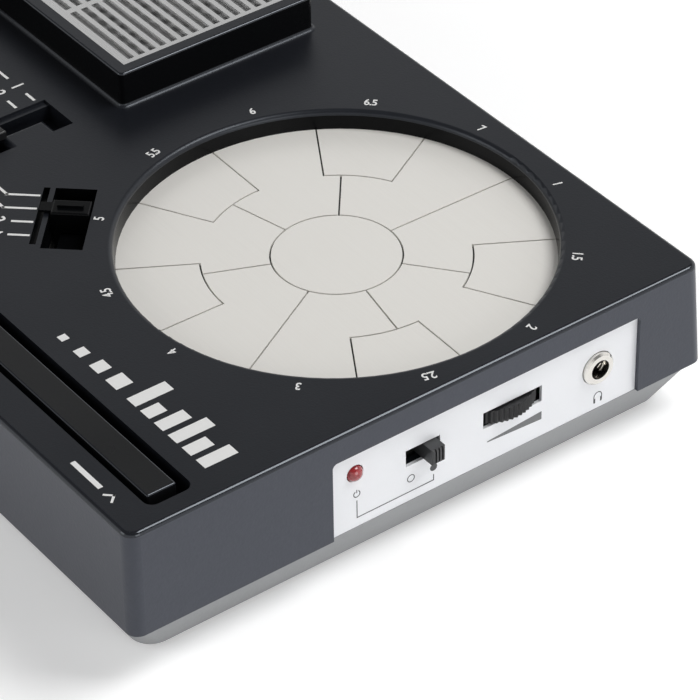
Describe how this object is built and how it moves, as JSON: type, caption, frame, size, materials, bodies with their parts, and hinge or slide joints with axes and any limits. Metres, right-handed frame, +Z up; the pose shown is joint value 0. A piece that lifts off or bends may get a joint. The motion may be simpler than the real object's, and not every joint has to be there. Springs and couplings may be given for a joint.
{
  "type": "drum machine",
  "caption": "Desk-top drum machine: black casing with a raised speaker box, round touch dial, stylus in a trough, slide selectors and an end panel.",
  "frame": {"origin": "bottom centre of the overall box, on the surface it stands on", "axes": "+X to the right along the long side, towards the end panel; +Y to the rear; +Z up"},
  "size_m": [0.1888, 0.1136, 0.0391],
  "materials": {
    "casing_black": "fine texture, satin",
    "base_grey": "fine texture, satin",
    "foot_rubber": "matt",
    "panel_silver": "satin",
    "pad_metal": "polished, light use marks",
    "board_green": "lacquered",
    "stylus_black": "satin",
    "nickel": "polished",
    "grille_silver": "satin",
    "grille_cloth_grey": "woven",
    "frame_steel": "satin",
    "cone_paper": "matt",
    "magnet_steel": "plain",
    "screw_steel": "plated",
    "knob_black": "satin",
    "knob_grey": "satin",
    "button_black": "satin",
    "switch_steel": "plated",
    "switch_black": "satin",
    "shaft_brass": "turned",
    "led_red": "diffused",
    "chip_black": "matt",
    "capacitor_sleeve": "gloss",
    "cell_sleeve": "gloss",
    "print_white": "screen ink",
    "print_dark": "screen ink",
    "contact_nickel": "plated"
  },
  "bodies": {
    "casing": {"base_shell": "base_grey", "battery_cells": "cell_sleeve", "battery_contacts": "contact_nickel", "battery_springs": "contact_nickel", "board_screws": "screw_steel", "button_switches": "switch_black", "capacitors": "capacitor_sleeve", "casing_screws": "screw_steel", "circuit_chips": "chip_black", "control_board": "board_green", "end_panel": "panel_silver", "grille_cloth": "grille_cloth_grey", "headphone_jack": "switch_black", "jack_sleeve": "nickel", "lead_grommet": "foot_rubber", "mode_selector_switch": "switch_steel", "pad_1": "pad_metal", "pad_1_5": "pad_metal", "pad_2": "pad_metal", "pad_2_5": "pad_metal", "pad_3": "pad_metal", "pad_4": "pad_metal", "pad_4_5": "pad_metal", "pad_5": "pad_metal", "pad_5_5": "pad_metal", "pad_6": "pad_metal", "pad_6_5": "pad_metal", "pad_7": "pad_metal", "pad_board": "board_green", "pad_centre": "pad_metal", "power_led": "led_red", "power_switch_body": "switch_steel", "rubber_feet": "foot_rubber", "side_board": "board_green", "sound_selector_switch": "switch_steel", "speaker_cone": "cone_paper", "speaker_frame": "frame_steel", "speaker_grille": "grille_silver", "speaker_magnet": "magnet_steel", "speaker_screws": "screw_steel", "tempo_control": "switch_steel", "upper_casing": "casing_black", "volume_control": "switch_black"},
    "stylus": {"stylus_body": "stylus_black", "stylus_tip": "nickel"},
    "door": {"battery_door": "base_grey"},
    "sound_selector": {"sound_selector_knob": "knob_black"},
    "mode_selector": {"mode_selector_knob": "knob_black"},
    "record": {"record_button": "button_black"},
    "play": {"play_button": "button_black"},
    "clear": {"clear_button": "button_black"},
    "tempo": {"tempo_knob": "knob_black", "tempo_shaft": "shaft_brass"},
    "power_switch": {"power_switch_knob": "knob_grey"},
    "volume": {"volume_wheel": "knob_grey"}
  },
  "joints": [
    {"name": "stylus_lift", "type": "slide", "parent": "casing", "child": "stylus", "axis": [0, 0, 1], "range_m": [0, 0.03]},
    {"name": "battery_door_slide", "type": "slide", "parent": "casing", "child": "door", "axis": [-1, 0, 0], "range_m": [0, 0.004]},
    {"name": "sound_selector_slide", "type": "slide", "parent": "casing", "child": "sound_selector", "axis": [0, 1, 0], "range_m": [0, 0.01125]},
    {"name": "mode_selector_slide", "type": "slide", "parent": "casing", "child": "mode_selector", "axis": [0.7431, -0.6691, 0], "range_m": [-0.00375, 0.0075]},
    {"name": "record_press", "type": "slide", "parent": "casing", "child": "record", "axis": [0, 0, -1], "range_m": [0, 0.001], "stiffness_N_per_m": 300, "springref_m": -0.001},
    {"name": "play_press", "type": "slide", "parent": "casing", "child": "play", "axis": [0, 0, -1], "range_m": [0, 0.001], "stiffness_N_per_m": 300, "springref_m": -0.001},
    {"name": "clear_press", "type": "slide", "parent": "casing", "child": "clear", "axis": [0, 0, -1], "range_m": [0, 0.001], "stiffness_N_per_m": 300, "springref_m": -0.001},
    {"name": "tempo_turn", "type": "hinge", "parent": "casing", "child": "tempo", "pos_m": [-0.06688, -0.0132, 0.03], "axis": [0, 0, 1], "range_deg": [-140, 140]},
    {"name": "power_slide", "type": "slide", "parent": "casing", "child": "power_switch", "axis": [0, -1, 0], "range_m": [0, 0.003]},
    {"name": "volume_turn", "type": "hinge", "parent": "casing", "child": "volume", "pos_m": [0.08493, 0.0169, 0.01792], "axis": [0, 0, 1], "range_deg": [-140, 140]}
  ]
}
